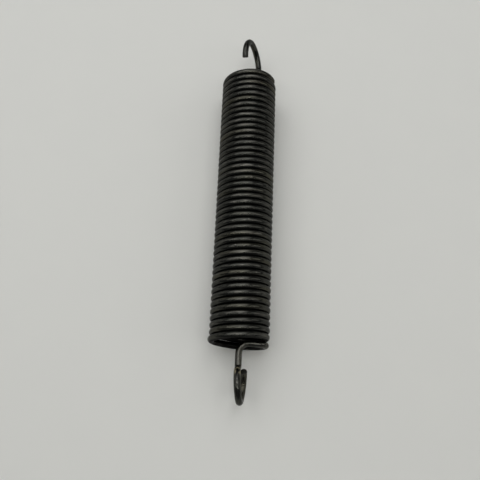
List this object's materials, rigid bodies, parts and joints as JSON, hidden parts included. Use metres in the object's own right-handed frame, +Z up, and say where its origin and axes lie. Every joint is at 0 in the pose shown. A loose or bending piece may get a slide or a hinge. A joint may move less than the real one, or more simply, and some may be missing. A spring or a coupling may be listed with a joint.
{
  "type": "extension spring",
  "caption": "Close-wound round-wire extension spring with a crossover centre hook at each end, lying on its side.",
  "frame": {"origin": "middle of the underside of the box round the spring as it lies on its side: level with the coil's lowest point and midway between the outermost points of the two hooks", "axes": "+Y along the coil's axis from the near hook to the far hook, +Z up, +X to the right"},
  "size_m": [0.0294, 0.1978, 0.0297],
  "materials": {
    "spring_steel": "dark oil-tempered steel wire, half gloss, with fine drawing marks and small rubbed spots"
  },
  "bodies": {
    "root": {"spring_wire": "spring_steel"}
  },
  "joints": []
}
